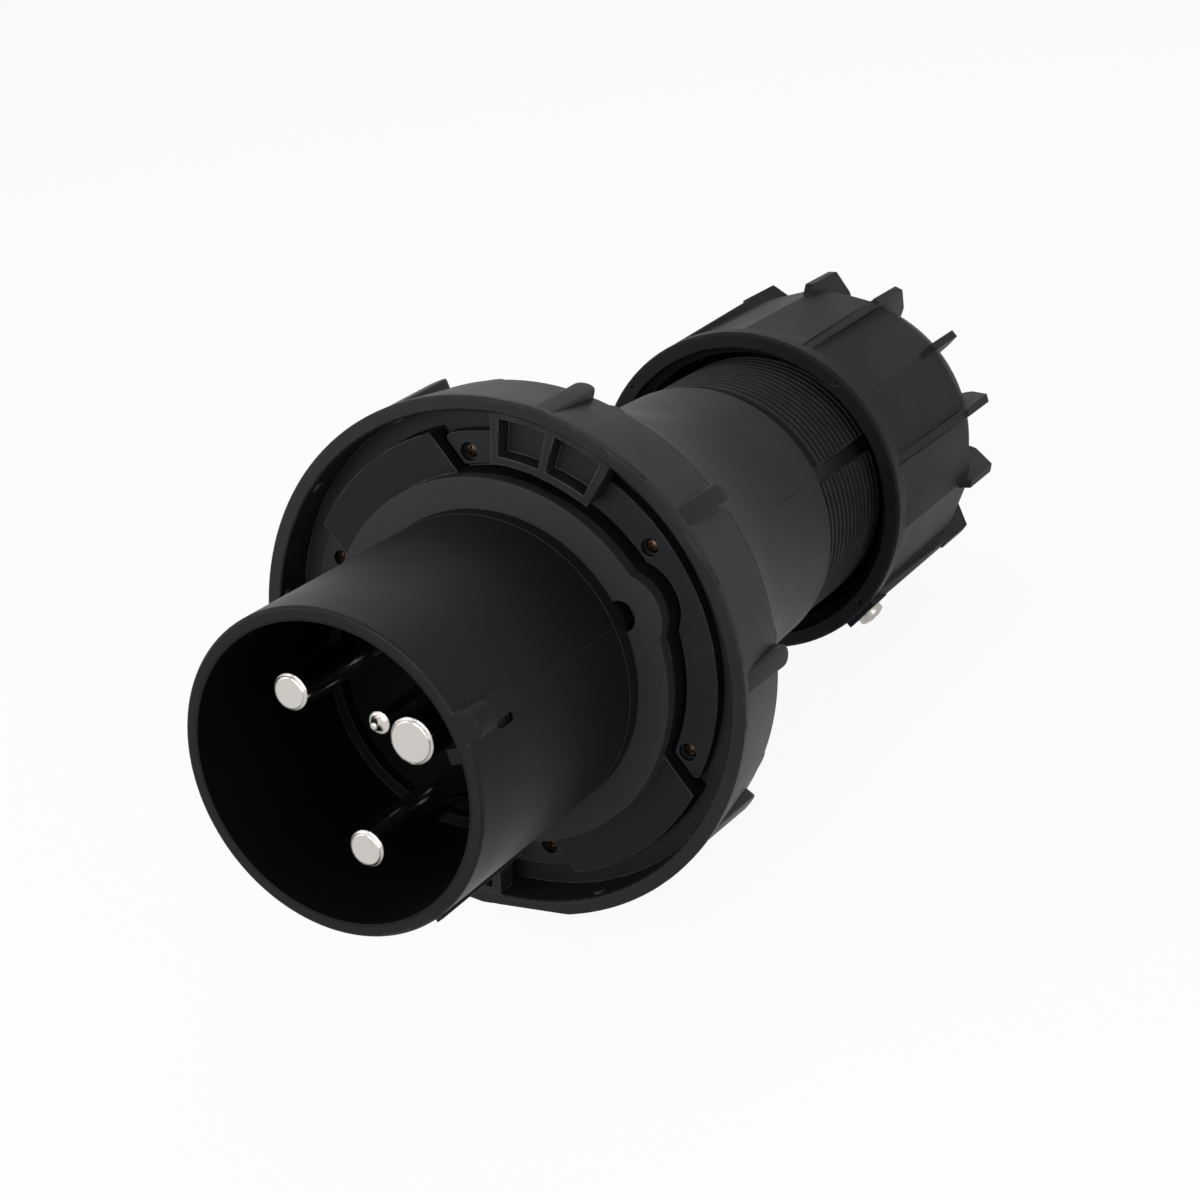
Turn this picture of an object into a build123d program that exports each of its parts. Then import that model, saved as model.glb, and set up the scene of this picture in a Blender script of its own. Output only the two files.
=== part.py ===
# Industrial plug for 63 A, two poles and earth, with a bayonet locking ring and a gland nut.
# Millimetres. The plug's axis lies along Y, its pins face -Y and the cable comes in from +Y.
# The origin is on the axis in the plane of the shroud's rim. +Z is up as the plug lies.
# Directions round the axis are in degrees from +X towards +Z.

import math
import os

from build123d import *

# Clearances
running_gap = 0.05
loose_gap = 0.3
turning_gap = 0.5
parting_gap = 1.2
thread_play = 0.1

# Directions round the plug
key_angle = 28.7
screw_angle = key_angle + 13.3
rib_angle = 40.7
fin_angle = 45.0
lock_screw_angle = -40.0

# Shroud and its key
shroud_radius = 35.5
shroud_wall = 3.0
shroud_length = 64.0
rim_round = 0.8
key_width = 6.8
key_height = 4.1
key_length = 6.0
key_tail_width = 4.8
key_tail_height = 1.4
key_tail_length = 16.5
key_pocket_length = 6.0
key_pocket_width = 2.2
key_pocket_depth = 1.3
guide_width = 3.2
guide_height = 3.8
guide_start = 1.5
guide_offset_angle = -9.5
nub_offset_angle = -76.0
nub_width = 1.6
nub_height = 0.7

# Root of the front shell: hub, lobe, flange and ears
gasket_thickness = 3.0
hub_length = 6.5
hub_width = 7.3
lobe_radius = 10.0
flange_width = 6.2
flange_thickness = 4.0
ear_width = 9.7
ear_thickness = 5.5
ear_half_width = 19.5
drain_radius = 3.6
drain_depth = 2.0

# Segments and their screws
segment_width = 7.3
segment_thickness = 3.0
segment_corner_round = 1.2
screw_inset = 3.8
segment_screw_count = 6
screw_head_radius = 2.0
screw_head_height = 1.5
screw_head_recess = 0.4
screw_head_gap = 0.15
screw_shank_radius = 1.25
screw_length = 21.0

# Locking ring
skirt_depth = 9.7
skirt_gap = 5.0
ring_length = 22.2
ring_wall = 3.5
ring_front_round = 1.5
ring_rear_chamfer = 1.6
rib_count = 12
rib_width = 5.2
rib_height = 1.6
rib_round = 0.7
rib_end_margin = 0.3
pip_radius = 1.6
pip_height = 0.5
lug_count = 2
lug_span = 30.0
lug_clearance = 3.6
lug_depth = 5.4
lug_wall = 1.7
lug_rim_wall = 0.9
lug_floor = 1.0
lug_offset_angle = 46.6

# Pins and their terminals
pin_circle_radius = 18.3
phase_offset_angle = 105.0
phase_pin_radius = 4.0
earth_pin_radius = 5.0
pilot_pin_radius = 2.5
pin_tip = 5.0
pilot_tip = 14.8
pilot_circle_radius = 4.8
pilot_offset_angle = 53.0
pin_tip_chamfer = 1.0
pin_root_step = 0.5
pin_root_lead = 1.0
pin_collar_height = 1.2
pin_collar_thickness = 4.0
terminal_length = 33.0
terminal_wall = 2.2
wire_hole_depth = 22.0
terminal_screw_share = 0.5

# Contact carrier and its cover
carrier_thickness = 22.0
ledge_thickness = 3.0
ledge_height = 2.6
pin_sleeve_height = 2.5
pin_sleeve_wall = 1.8
cover_thickness = 3.0
carrier_screw_margin = 1.4
carrier_screw_radius = 1.5
carrier_screw_length = 14.0
carrier_screw_head_radius = 2.8
carrier_screw_head_height = 1.8

# Rear housing
barrel_length = 127.5
housing_wall = 3.2
rim_length = 11.0
rim_chamfer = 1.5
waist_radius = 38.8
waist_start = 58.5
waist_round = 75.0
spigot_wall = 2.8
spigot_length = 2.5
boss_radius = 4.4
boss_length = 16.0

# Gland thread and the seat of the bush
thread_step = 1.55
thread_depth = 0.85
thread_length = 36.0
thread_wall = 3.4
thread_groove_width = 4.0
thread_groove_depth = 1.6
seat_ledge_width = 4.5
seat_ledge_thickness = 3.0
bush_seat_depth = 19.0

# Seals
seal_inset = 1.8
seal_section = 0.9
bush_length = 12.0
bush_chamfer = 3.0
cable_bore_radius = 13.0
bush_ring_groove_width = 1.2
bush_ring_groove_depth = 2.5

# Clamp sleeve and slip washer
tighten_travel = 10.0
sleeve_wall = 4.0
sleeve_flange_thickness = 4.0
washer_thickness = 1.0

# Gland nut
nut_engagement = 11.5
nut_length = 79.5
nut_wall = 4.55
nut_lead_in = 3.0
nut_lead_in_step = 2.4
nut_flange_step = 1.8
nut_flange_length = 4.5
nut_flange_round = 0.8
nut_body_chamfer = 1.2
nut_thread_length = 22.0
nut_cavity_wall = 5.3
nut_end_thickness = 11.0
nut_cable_radius = 20.0
nut_cable_flare = 3.0
dome_length = 23.0
dome_step = 1.9
dome_taper = 1.4
dome_shoulder_length = 11.5
dome_end_step = 10.0
dome_round = 26.0
fin_count = 14
fin_height = 2.5
fin_thickness = 2.2
fin_length = 32.5
fin_ramp = 3.0
fin_tip_setback = 13.0
fin_tip_round = 1.6
fin_foot_step = 2.7
fin_foot_setback = 4.0
ridge_height = 2.0
ridge_width = 2.6
dimple_radius = 0.8
dimple_depth = 0.6
dimple_count = 4
dimple_offset_angle = 9.0
lock_boss_width = 10.0
lock_boss_length = 8.4
lock_boss_height = 2.0
lock_screw_radius = 2.0
lock_head_radius = 3.6
lock_head_height = 2.4
lock_screw_depth = 5.2

# Radii that follow from the sizes above
shroud_bore_radius = shroud_radius - shroud_wall
hub_radius = shroud_radius + hub_width
flange_radius = hub_radius + flange_width
ear_radius = hub_radius + ear_width
segment_bore_radius = hub_radius + parting_gap
segment_radius = segment_bore_radius + segment_width
screw_circle_radius = hub_radius + screw_inset
lug_inner_radius = hub_radius + lug_clearance
ring_bore_radius = ear_radius + skirt_gap
ring_radius = ring_bore_radius + ring_wall
rim_radius = ring_bore_radius - turning_gap
carrier_screw_circle = (shroud_bore_radius - spigot_wall - carrier_screw_head_radius
                        - carrier_screw_margin)
seal_radius = shroud_radius + seal_inset
thread_radius = waist_radius - thread_step
thread_core_radius = thread_radius - thread_depth
thread_bore_radius = thread_core_radius - thread_wall
seat_ledge_radius = thread_bore_radius - seat_ledge_width
sleeve_radius = thread_bore_radius - loose_gap
nut_bore_radius = thread_radius + thread_play
nut_opening_radius = nut_bore_radius + nut_lead_in_step
nut_body_radius = nut_bore_radius + nut_wall
nut_flange_radius = nut_body_radius + nut_flange_step
nut_cavity_radius = nut_body_radius - nut_cavity_wall
nut_corner_radius = nut_body_radius / math.cos(math.pi / fin_count)
fin_radius = nut_corner_radius + fin_height
dome_radius = nut_body_radius - dome_step
dome_shoulder_radius = dome_radius - dome_taper
dome_end_radius = dome_radius - dome_end_step
fin_foot_radius = dome_radius - fin_foot_step
lock_boss_radius = nut_corner_radius + lock_boss_height

# Stations along the axis that follow from the sizes above
gasket_front = shroud_length
gasket_back = gasket_front + gasket_thickness
flange_front = gasket_back + hub_length
flange_back = flange_front + flange_thickness
ear_front = flange_front - ear_thickness
segment_front = flange_front - segment_thickness
screw_seat = segment_front + screw_head_recess + screw_head_height
ring_front = flange_front - skirt_depth
ring_back = ring_front + ring_length
collar_front = flange_front + loose_gap
collar_back = flange_back - loose_gap
cover_back = flange_back - spigot_length
carrier_back = cover_back - cover_thickness
carrier_front = carrier_back - carrier_thickness
rim_back = flange_back + rim_length
waist_station = flange_back + waist_start
housing_back = flange_back + barrel_length
thread_front = housing_back - thread_length
bush_front = housing_back - bush_seat_depth
bush_back = bush_front + bush_length
sleeve_front = bush_back + tighten_travel + loose_gap
nut_front = housing_back - nut_engagement
nut_back = nut_front + nut_length
nut_seat = nut_back - nut_end_thickness
washer_front = nut_seat - washer_thickness
dome_front = nut_back - dome_length
fin_front = nut_back - fin_length
lock_screw_station = nut_front + lock_screw_depth

# Directions that follow
ear_angle = screw_angle + 90.0
fin_step = 360.0 / fin_count


# Building blocks
def corner_near(face, radius, station):
    """The corner of a profile nearest to a given radius and station."""
    target = Vector(radius, station, 0)
    return min(face.vertices(), key=lambda v: (Vector(v.X, v.Y, v.Z) - target).length)


def turned(points, rounds=()):
    """A solid of revolution about Y from (radius, station) corners, some of them rounded."""
    face = make_face(Polyline(*[(r, y, 0) for r, y in points], close=True))
    for radius, station, size in rounds:
        face = fillet(corner_near(face, radius, station), size)
    return revolve(face, Axis.Y)


def tube(outer, inner, front, back):
    """A plain ring about the plug's axis between two stations."""
    return turned([(inner, front), (outer, front), (outer, back), (inner, back)])


def rod(radius, front, back, circle=0.0, angle=0.0):
    """A cylinder along Y, on a circle about the axis at a given direction."""
    length = back - front
    body = Pos(circle, front + length / 2, 0) * Rot(90, 0, 0) * Cylinder(radius, length)
    return at(angle, body)


def radial_rod(radius, inner, outer, station, angle=0.0):
    """A cylinder that points straight out from the axis."""
    length = outer - inner
    body = Pos(inner + length / 2, station, 0) * Rot(0, 90, 0) * Cylinder(radius, length)
    return at(angle, body)


def block(inner, outer, front, back, width, angle=0.0):
    """A box between two radii and two stations, of a given width across."""
    body = Pos((inner + outer) / 2, (front + back) / 2, 0) * Box(outer - inner, back - front, width)
    return at(angle, body)


def band(half_width, front, back, angle):
    """A slab across the whole plug, centred on the axis."""
    length = 3 * ring_radius
    return block(-length, length, front, back, 2 * half_width, angle)


def at(angle, shape):
    """Turn a shape that points along +X to another direction round the plug."""
    return shape.rotate(Axis.Y, -angle)


def spread(shape, count, first_angle=0.0):
    """Equally spaced copies of a shape that points along +X."""
    step = 360.0 / count
    return [at(first_angle + step * i, shape) for i in range(count)]


def sector(outer, inner, front, back, span, angle):
    """A piece of a ring, less than half of it, centred on a given direction."""
    reach = outer * 2.0
    half = math.radians(span / 2)
    far = reach * math.cos(half)
    side = reach * math.sin(half)
    outline = Polyline((0, front - 1, 0), (far, front - 1, side), (far, front - 1, -side), close=True)
    wedge = extrude(make_face(outline), amount=back - front + 2, dir=(0, 1, 0))
    return at(angle, tube(outer, inner, front, back) & wedge)


def lobe(radius, front, back):
    """A disc that is centred on the shroud's outer surface at the key."""
    return rod(radius, front, back, shroud_radius, key_angle)


def drain_notch(front, back):
    """The half-round hole beside the shroud, under the key."""
    hole = rod(drain_radius, front, back, shroud_radius, key_angle)
    return hole - rod(shroud_radius, front - 1, back + 1)


# Front shell: shroud, key, root flange and its two ears
def shroud_key():
    """The polarising key on the shroud's rim, with the low rib behind it."""
    inner = shroud_radius - shroud_wall / 2
    head = block(inner, shroud_radius + key_height, 0, key_length, key_width)
    head = fillet(head.edges().filter_by(Axis.Y).group_by(Axis.X)[-1], key_width * 0.42)
    head = fillet(head.faces().sort_by(Axis.Y)[0].edges().sort_by(Axis.X)[-3:], rim_round / 2)
    tail_end = key_tail_length - key_tail_width / 2
    tail_radius = shroud_radius + key_tail_height
    tail = block(inner, tail_radius, key_length / 2, tail_end, key_tail_width)
    tail += radial_rod(key_tail_width / 2, inner, tail_radius, tail_end)
    return at(key_angle, head + tail)


def key_pocket():
    """The blind slot that the mould's core leaves beside the key's rib."""
    offset = math.degrees((key_tail_width + key_pocket_width) / 2 / shroud_radius)
    back = key_tail_length
    pocket = block(shroud_radius - key_pocket_depth, shroud_radius + 1, back - key_pocket_length,
                   back, key_pocket_width)
    pocket = fillet(pocket.edges().filter_by(Axis.X), key_pocket_width * 0.45)
    return at(key_angle - offset, pocket)


def front_shell():
    shell = turned(
        [(shroud_bore_radius, 0), (shroud_radius, 0), (shroud_radius, gasket_back),
         (hub_radius, gasket_back), (hub_radius, flange_front), (flange_radius, flange_front),
         (flange_radius, flange_back), (shroud_bore_radius, flange_back)],
        [(shroud_radius, 0, rim_round)])
    ledge_front = carrier_front - ledge_thickness
    inside_wall = shroud_bore_radius + shroud_wall / 2
    shell += tube(inside_wall, shroud_bore_radius - ledge_height, ledge_front, carrier_front)
    shell += lobe(lobe_radius, gasket_back, flange_front) - rod(inside_wall, 0, flange_back)
    ears = tube(ear_radius, hub_radius - 1, ear_front, flange_front)
    shell += ears & band(ear_half_width, ear_front - 1, flange_back, ear_angle)
    shell += shroud_key()
    shell -= key_pocket()
    shell += block(shroud_bore_radius - guide_height, inside_wall, guide_start, ledge_front,
                   guide_width, key_angle + guide_offset_angle)
    shell += block(inside_wall, shroud_radius + nub_height, rim_round, gasket_front / 2,
                   nub_width, key_angle + nub_offset_angle)
    hole = rod(screw_shank_radius + running_gap, ear_front - 1, flange_back + 1, screw_circle_radius)
    for cut in spread(hole, segment_screw_count, screw_angle):
        shell -= cut
    shell -= drain_notch(gasket_back - 1, gasket_back + drain_depth)
    return shell


def flange_gasket():
    inner = shroud_radius + running_gap
    gasket = tube(hub_radius, inner, gasket_front, gasket_back)
    gasket += lobe(lobe_radius, gasket_front, gasket_back) - rod(inner, 0, flange_back)
    gasket -= drain_notch(gasket_front - 1, gasket_back + 1)
    return gasket


# Retaining segments, one on each side between the ears, each held by three screws
def retaining_segment(angle):
    pair = tube(segment_radius, segment_bore_radius, segment_front, flange_front)
    pair -= band(ear_half_width + parting_gap, segment_front - 1, flange_front + 1, ear_angle)
    pair -= lobe(lobe_radius + parting_gap, segment_front - 1, flange_front + 1)
    corners = [e for e in pair.edges().filter_by(Axis.Y)
               if math.hypot(e.center().X, e.center().Z) > segment_radius - 0.01]
    pair = fillet(corners, segment_corner_round)
    hole = rod(screw_shank_radius + running_gap, segment_front - 1, flange_front + 1,
               screw_circle_radius)
    hole += rod(screw_head_radius + screw_head_gap, segment_front - 1, screw_seat, screw_circle_radius)
    for cut in spread(hole, segment_screw_count, screw_angle):
        pair -= cut
    direction = Vector(math.cos(math.radians(angle)), 0, math.sin(math.radians(angle)))
    return max(pair.solids(), key=lambda s: s.center().dot(direction))


def segment_screws():
    head_front = segment_front + screw_head_recess
    screw = rod(screw_head_radius, head_front, screw_seat, screw_circle_radius)
    screw = fillet(screw.edges().sort_by(Axis.Y)[0], screw_head_height * 0.4)
    screw += rod(screw_shank_radius, screw_seat, screw_seat + screw_length, screw_circle_radius)
    return Compound(spread(screw, segment_screw_count, screw_angle))


# Locking ring: skirt with grip ribs, notched inner collar and two cored bayonet lugs
def grip_rib():
    """One grip rib, round at its rear end and soft along its top edge."""
    rib_end = ring_back - rib_end_margin - rib_width / 2
    inner = ring_radius - ring_wall / 2
    outer = ring_radius + rib_height
    rib = block(inner, outer, ring_front + ring_front_round, rib_end, rib_width)
    rib += radial_rod(rib_width / 2, inner, outer, rib_end)
    top = rib.faces().sort_by(Axis.X)[-1]
    return fillet(top.edges(), rib_round)


def lug_pockets(angle):
    """The two pockets that core one bayonet lug from the front."""
    wall_span = math.degrees(lug_wall / lug_inner_radius)
    pocket_span = (lug_span - 3 * wall_span) / 2
    front = ring_front + loose_gap
    floor = front + lug_depth - lug_floor
    return [sector(ring_bore_radius - lug_rim_wall, lug_inner_radius + lug_wall, ring_front - 1,
                   floor, pocket_span, angle + side * (pocket_span + wall_span) / 2)
            for side in (-1, 1)]


def locking_ring():
    collar_inner = flange_radius + loose_gap
    ring = turned(
        [(ring_bore_radius, ring_front), (ring_radius, ring_front),
         (ring_radius, ring_back - ring_rear_chamfer), (ring_radius - ring_rear_chamfer, ring_back),
         (ring_bore_radius, ring_back), (ring_bore_radius, collar_back),
         (collar_inner, collar_back), (collar_inner, collar_front),
         (ring_bore_radius, collar_front)],
        [(ring_radius, ring_front, ring_front_round),
         (ring_bore_radius, ring_front, ring_front_round / 3)])
    ring -= (tube(ear_radius + loose_gap, 1, collar_front - 1, collar_back + 1)
             & band(ear_half_width + turning_gap, collar_front - 2, collar_back + 2, ear_angle))
    ring = ring.fuse(*spread(grip_rib(), rib_count, rib_angle))
    pip = radial_rod(pip_radius, ring_bore_radius - pip_height, ring_bore_radius + ring_wall / 2,
                     ring_front + 2 * pip_radius)
    ring = ring.fuse(*spread(pip, rib_count, rib_angle + 180.0 / rib_count))
    front = ring_front + loose_gap
    angles = [key_angle + lug_offset_angle + 360.0 / lug_count * i for i in range(lug_count)]
    for angle in angles:
        ring += sector(ring_bore_radius + ring_wall / 2, lug_inner_radius, front, front + lug_depth,
                       lug_span, angle)
    for angle in angles:
        for pocket in lug_pockets(angle):
            ring -= pocket
    return ring


# Pins, each turned in one piece with its root, collar and terminal
def pin_places():
    """Radius, tip station, circle and direction of the earth, phase and pilot pins."""
    return {
        "earth_pin": (earth_pin_radius, pin_tip, pin_circle_radius, key_angle),
        "phase_pin_left": (phase_pin_radius, pin_tip, pin_circle_radius,
                           key_angle + phase_offset_angle),
        "phase_pin_right": (phase_pin_radius, pin_tip, pin_circle_radius,
                            key_angle - phase_offset_angle),
        "pilot_pin": (pilot_pin_radius, pilot_tip, pilot_circle_radius,
                      key_angle + pilot_offset_angle)}


def terminal_screw_radius(pin_radius):
    """A terminal screw is half as thick as the pin that it serves."""
    return pin_radius * terminal_screw_share


def terminal_screw_stations():
    """Stations of the two clamping screws in each terminal."""
    start = carrier_back + terminal_length - wire_hole_depth
    return [start + wire_hole_depth * share for share in (0.3, 0.7)]


def contact_pin(radius, tip, circle, angle):
    terminal_radius = radius + terminal_wall
    collar_radius = terminal_radius + pin_collar_height
    root_radius = radius + pin_root_step
    root_start = carrier_front - pin_sleeve_height - pin_root_lead
    collar_start = carrier_back - pin_collar_thickness
    terminal_back = carrier_back + terminal_length
    hole_start = terminal_back - wire_hole_depth
    pin = turned(
        [(0, tip), (radius - pin_tip_chamfer, tip), (radius, tip + pin_tip_chamfer),
         (radius, root_start), (root_radius, root_start), (root_radius, collar_start),
         (collar_radius, collar_start), (collar_radius, carrier_back),
         (terminal_radius, carrier_back), (terminal_radius, terminal_back),
         (radius, terminal_back), (radius, hole_start), (0, hole_start)])
    for station in terminal_screw_stations():
        pin -= radial_rod(terminal_screw_radius(radius) + running_gap, 0, terminal_radius + 1, station)
    return at(angle, Pos(circle, 0, 0) * pin)


def terminal_screws():
    screws = []
    for radius, tip, circle, angle in pin_places().values():
        for station in terminal_screw_stations():
            screws.append(radial_rod(terminal_screw_radius(radius), circle + radius * 0.4,
                                     circle + radius + terminal_wall, station, angle))
    return Compound(screws)


# Insulating carrier, and the cover that traps the pins' collars in it
def carrier_screw_angles():
    """Directions of the two screws, clear of the contacts."""
    return [key_angle + 180.0, key_angle + phase_offset_angle / 2]


def contact_carrier():
    carrier = rod(shroud_bore_radius - running_gap, carrier_front, carrier_back)
    for radius, tip, circle, angle in pin_places().values():
        bore = radius + pin_root_step + running_gap
        carrier += rod(bore + pin_sleeve_wall, carrier_front - pin_sleeve_height,
                       carrier_front + 1, circle, angle)
    for radius, tip, circle, angle in pin_places().values():
        bore = radius + pin_root_step + running_gap
        seat = radius + terminal_wall + pin_collar_height + running_gap
        carrier -= rod(bore, 0, carrier_back + 1, circle, angle)
        carrier -= rod(seat, carrier_back - pin_collar_thickness, carrier_back + 1, circle, angle)
    for angle in carrier_screw_angles():
        carrier -= rod(carrier_screw_radius + running_gap, cover_back - carrier_screw_length - 1,
                       carrier_back + 1, carrier_screw_circle, angle)
    return carrier


def carrier_cover():
    cover = rod(shroud_bore_radius - loose_gap, carrier_back, cover_back)
    for radius, tip, circle, angle in pin_places().values():
        cover -= rod(radius + terminal_wall + running_gap, carrier_back - 1, cover_back + 1,
                     circle, angle)
    for angle in carrier_screw_angles():
        cover -= rod(carrier_screw_radius + running_gap, carrier_back - 1, cover_back + 1,
                     carrier_screw_circle, angle)
    return cover


def carrier_screws():
    screws = []
    for angle in carrier_screw_angles():
        head = rod(carrier_screw_head_radius, cover_back, cover_back + carrier_screw_head_height,
                   carrier_screw_circle, angle)
        shank = rod(carrier_screw_radius, cover_back - carrier_screw_length, cover_back,
                    carrier_screw_circle, angle)
        screws.append(head + shank)
    return Compound(screws)


# Rear housing: rim cup, waisted barrel and gland thread
def rear_housing():
    spigot_outer = shroud_bore_radius - running_gap
    spigot_inner = spigot_outer - spigot_wall
    plate_back = flange_back + housing_wall
    cone_front = rim_back + rim_chamfer
    cone_radius = rim_radius - rim_chamfer
    waist_bore = waist_radius - housing_wall
    neck_start = thread_front - housing_wall
    housing = turned(
        [(spigot_inner, cover_back), (spigot_outer, cover_back), (spigot_outer, flange_back),
         (rim_radius, flange_back), (rim_radius, rim_back),
         (cone_radius, cone_front), (waist_radius, waist_station),
         (waist_radius, thread_front - thread_step), (thread_core_radius, thread_front),
         (thread_core_radius, housing_back),
         (thread_bore_radius, housing_back), (thread_bore_radius, bush_front),
         (seat_ledge_radius, bush_front), (seat_ledge_radius, bush_front - seat_ledge_thickness),
         (thread_bore_radius, bush_front - seat_ledge_thickness), (thread_bore_radius, neck_start),
         (waist_bore, neck_start - housing_wall), (waist_bore, waist_station),
         (cone_radius - housing_wall, cone_front), (cone_radius - housing_wall, plate_back),
         (spigot_inner, plate_back)],
        [(waist_radius, waist_station, waist_round),
         (waist_bore, waist_station, waist_round + housing_wall)])
    boss = rod(boss_radius, plate_back - 1, plate_back + boss_length, screw_circle_radius)
    housing = housing.fuse(*spread(boss, segment_screw_count, screw_angle))
    hole = rod(screw_shank_radius + running_gap, flange_back - 1,
               screw_seat + screw_length + loose_gap, screw_circle_radius)
    for cut in spread(hole, segment_screw_count, screw_angle):
        housing -= cut
    housing -= tube(seal_radius + seal_section + loose_gap, seal_radius - seal_section - loose_gap,
                    flange_back - 1, flange_back + 2 * (seal_section + running_gap))
    housing -= block(thread_radius - thread_groove_depth, thread_radius + 2, thread_front,
                     housing_back + 1, thread_groove_width, key_angle)
    return housing


def housing_seal():
    station = flange_back + seal_section + running_gap
    return revolve(Pos(seal_radius, station, 0) * Circle(seal_section), Axis.Y)


# Rubber bush, with ring grooves so that it can be opened up for a thicker cable
def gland_bush():
    outer = sleeve_radius
    bush = turned(
        [(cable_bore_radius, bush_front), (outer, bush_front), (outer, bush_back - bush_chamfer),
         (outer - bush_chamfer, bush_back), (cable_bore_radius, bush_back)])
    room = outer - bush_chamfer - cable_bore_radius
    for share in (0.25, 0.5, 0.75):
        inner = cable_bore_radius + room * share - bush_ring_groove_width / 2
        bush -= tube(inner + bush_ring_groove_width, inner, bush_back - bush_ring_groove_depth,
                     bush_back + 1)
    return bush


# Clamp sleeve: the nut pushes it down the barrel's bore on to the bush
def clamp_sleeve():
    inner = sleeve_radius - sleeve_wall
    step = washer_front - sleeve_flange_thickness
    return turned(
        [(inner, sleeve_front), (sleeve_radius, sleeve_front), (sleeve_radius, washer_front),
         (nut_cable_radius, washer_front), (nut_cable_radius, step), (inner, step)])


def slip_washer():
    return tube(sleeve_radius, nut_cable_radius, washer_front, nut_seat)


# Gland nut: a prism with a corner below each fin, ridges, and a domed rear end
def nut_prism():
    corners = []
    for i in range(fin_count):
        angle = math.radians(fin_angle + i * fin_step)
        corners.append((nut_corner_radius * math.cos(angle), nut_front,
                        nut_corner_radius * math.sin(angle)))
    prism = extrude(make_face(Polyline(*corners, close=True)), amount=dome_front - nut_front,
                    dir=(0, 1, 0))
    edge = nut_corner_radius - nut_body_chamfer
    return prism & turned([(0, nut_front), (nut_flange_radius, nut_front),
                           (nut_flange_radius, dome_front - 2 * nut_body_chamfer),
                           (edge, dome_front), (0, dome_front)])


def nut_fin():
    """One radial fin: it rises from the prism's corner and slopes down over the dome."""
    root = dome_end_radius - fin_thickness
    tip = nut_back - fin_tip_setback
    foot = nut_back - fin_foot_setback
    outline = FilletPolyline(
        (root, fin_front, 0), (nut_corner_radius - fin_thickness / 2, fin_front, 0),
        (fin_radius, fin_front + fin_ramp, 0), (fin_radius, tip, 0), (fin_foot_radius, foot, 0),
        (root, foot + fin_thickness / 2, 0),
        radius=[0, 0, fin_tip_round / 2, fin_tip_round, 2 * fin_tip_round, 0], close=True)
    return extrude(make_face(outline), amount=fin_thickness / 2, both=True)


def gland_nut():
    flange_end = nut_front + nut_flange_length
    shoulder = nut_back - dome_shoulder_length
    nut = nut_prism()
    nut += turned([(0, nut_front), (nut_flange_radius, nut_front), (nut_flange_radius, flange_end),
                   (0, flange_end)],
                  [(nut_flange_radius, nut_front, nut_flange_round)])
    nut += turned([(0, dome_front - 1), (dome_radius, dome_front - 1), (dome_radius, dome_front),
                   (dome_shoulder_radius, shoulder), (dome_end_radius, nut_back), (0, nut_back)],
                  [(dome_shoulder_radius, shoulder, dome_round)])
    nut = nut.fuse(*spread(nut_fin(), fin_count, fin_angle))
    ridge = block(nut_body_radius - nut_wall / 2, nut_corner_radius + ridge_height, flange_end - 1,
                  fin_front + fin_ramp, ridge_width)
    nut = nut.fuse(*spread(ridge, fin_count // 2, fin_angle - fin_step))
    nut += block(nut_body_radius - nut_wall / 2, lock_boss_radius,
                 lock_screw_station - lock_boss_length / 2,
                 lock_screw_station + lock_boss_length / 2, lock_boss_width, lock_screw_angle)
    thread_start = nut_front + nut_lead_in
    thread_end = nut_front + nut_thread_length
    nut -= turned(
        [(0, nut_front - 1), (nut_opening_radius, nut_front - 1), (nut_opening_radius, thread_start),
         (nut_bore_radius, thread_start + nut_lead_in / 2), (nut_bore_radius, thread_end),
         (nut_cavity_radius, thread_end), (nut_cavity_radius, dome_front),
         (thread_bore_radius, dome_front), (thread_bore_radius, nut_seat),
         (nut_cable_radius, nut_seat), (nut_cable_radius, nut_back - nut_cable_flare),
         (nut_cable_radius + nut_cable_flare, nut_back), (nut_cable_radius + nut_cable_flare, nut_back + 1),
         (0, nut_back + 1)])
    dimple = rod(dimple_radius, nut_front - 1, nut_front + dimple_depth,
                 (nut_flange_radius + nut_opening_radius) / 2)
    for cut in spread(dimple, dimple_count, fin_angle + dimple_offset_angle):
        nut -= cut
    nut -= radial_rod(lock_screw_radius + running_gap, thread_bore_radius, lock_boss_radius + 5,
                      lock_screw_station, lock_screw_angle)
    return nut


def nut_locking_screw():
    head = radial_rod(lock_head_radius, lock_boss_radius, lock_boss_radius + lock_head_height,
                      lock_screw_station)
    head = fillet(head.edges().sort_by(Axis.X)[-1], lock_head_height * 0.45)
    shank = radial_rod(lock_screw_radius, nut_bore_radius + loose_gap, lock_boss_radius,
                       lock_screw_station)
    return at(lock_screw_angle, head + shank)


# All pieces, one file each
pieces = {
    "front_shell": front_shell(),
    "flange_gasket": flange_gasket(),
    "retaining_segment_key_side": retaining_segment(screw_angle),
    "retaining_segment_far_side": retaining_segment(screw_angle + 180.0),
    "segment_screws": segment_screws(),
    "locking_ring": locking_ring(),
    "contact_carrier": contact_carrier(),
    "carrier_cover": carrier_cover(),
    "carrier_screws": carrier_screws(),
    "terminal_screws": terminal_screws(),
    "rear_housing": rear_housing(),
    "housing_seal": housing_seal(),
    "gland_bush": gland_bush(),
    "clamp_sleeve": clamp_sleeve(),
    "slip_washer": slip_washer(),
    "gland_nut": gland_nut(),
    "nut_locking_screw": nut_locking_screw()}
for name, place in pin_places().items():
    pieces[name] = contact_pin(*place)

os.makedirs("parts", exist_ok=True)
for name, shape in pieces.items():
    export_step(shape, f"parts/{name}.step")
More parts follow.
